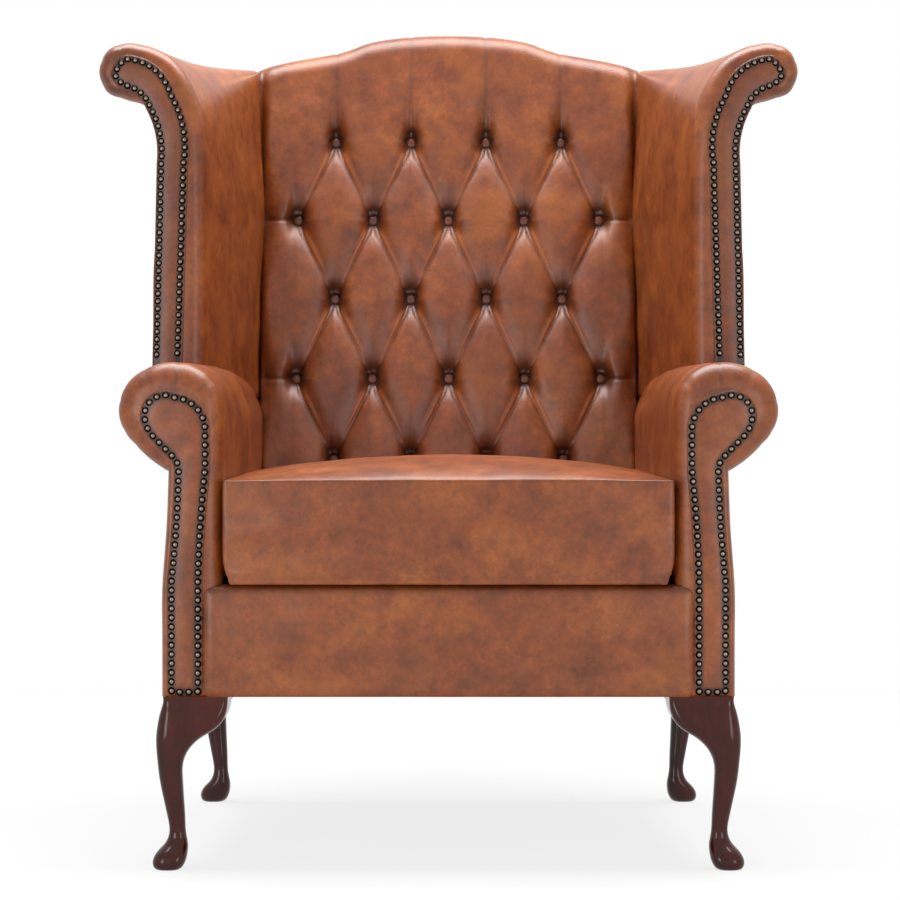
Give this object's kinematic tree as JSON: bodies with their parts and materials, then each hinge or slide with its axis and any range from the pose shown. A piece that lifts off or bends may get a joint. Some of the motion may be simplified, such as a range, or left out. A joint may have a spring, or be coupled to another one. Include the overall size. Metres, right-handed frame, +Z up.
{
  "type": "armchair",
  "caption": "High-backed wing armchair with scroll arms and wings, deep-buttoned leather back, loose seat cushion, nailed facings and cabriole legs.",
  "frame": {"origin": "on the floor under the middle of the chair's overall width and depth", "axes": "+Z up from the floor; -Y the way the seat faces, so +Y is towards the back; +X to the right as seen facing the chair"},
  "size_m": [0.933, 0.7892, 1.131],
  "materials": {
    "leather": "semi-gloss, mottled antique tan",
    "button_leather": "semi-gloss, same hide as the back",
    "mahogany": "dark red polish, gloss",
    "frame_wood": "sawn hardwood, matt",
    "antique_brass": "darkened, satin",
    "bolt_steel": "plated",
    "spring_steel": "oiled wire",
    "padding": "foam and wadding",
    "webbing": "woven strap",
    "black_cloth": "thin non-woven cloth",
    "zip_tape": "woven tape with coil zip"
  },
  "bodies": {
    "frame": {"front_seat_rail": "frame_wood", "rear_seat_rail": "frame_wood", "side_seat_rail_left": "frame_wood", "side_seat_rail_right": "frame_wood", "corner_blocks": "frame_wood", "front_leg_left": "mahogany", "front_leg_right": "mahogany", "rear_leg_left": "mahogany", "rear_leg_right": "mahogany", "leg_bolts": "bolt_steel", "back_post_left": "frame_wood", "back_post_right": "frame_wood", "lower_back_rail": "frame_wood", "middle_back_rail": "frame_wood", "crest_rail": "frame_wood", "arm_post_left": "frame_wood", "arm_post_right": "frame_wood", "arm_rail_left": "frame_wood", "arm_rail_right": "frame_wood", "wing_post_left": "frame_wood", "wing_post_right": "frame_wood", "wing_rail_left": "frame_wood", "wing_rail_right": "frame_wood", "seat_springs": "spring_steel", "spring_clips": "spring_steel", "seat_deck": "padding", "back_webbing": "webbing", "dust_cover": "black_cloth", "front_rail_leather": "leather", "front_rail_padding": "padding", "inside_back_leather": "leather", "back_foam": "padding", "back_buttons": "button_leather", "arm_nails_left": "antique_brass", "arm_nails_right": "antique_brass", "wing_nails_left": "antique_brass", "wing_nails_right": "antique_brass", "arm_facing_left": "leather", "arm_facing_right": "leather", "inside_arm_leather_left": "leather", "inside_arm_leather_right": "leather", "outside_arm_leather_left": "leather", "outside_arm_leather_right": "leather", "arm_foam_left": "padding", "arm_foam_right": "padding", "wing_facing_left": "leather", "wing_facing_right": "leather", "inside_wing_leather_left": "leather", "inside_wing_leather_right": "leather", "outside_wing_leather_left": "leather", "outside_wing_leather_right": "leather", "wing_foam_left": "padding", "wing_foam_right": "padding", "outside_back_leather": "leather"},
    "seat_cushion": {"cushion_core": "padding", "seat_cushion_cover": "leather", "cushion_zip": "zip_tape"}
  },
  "joints": [
    {"name": "cushion_lift_out", "type": "slide", "parent": "frame", "child": "seat_cushion", "axis": [0, -0.5, 0.866], "range_m": [0, 0.6]}
  ]
}
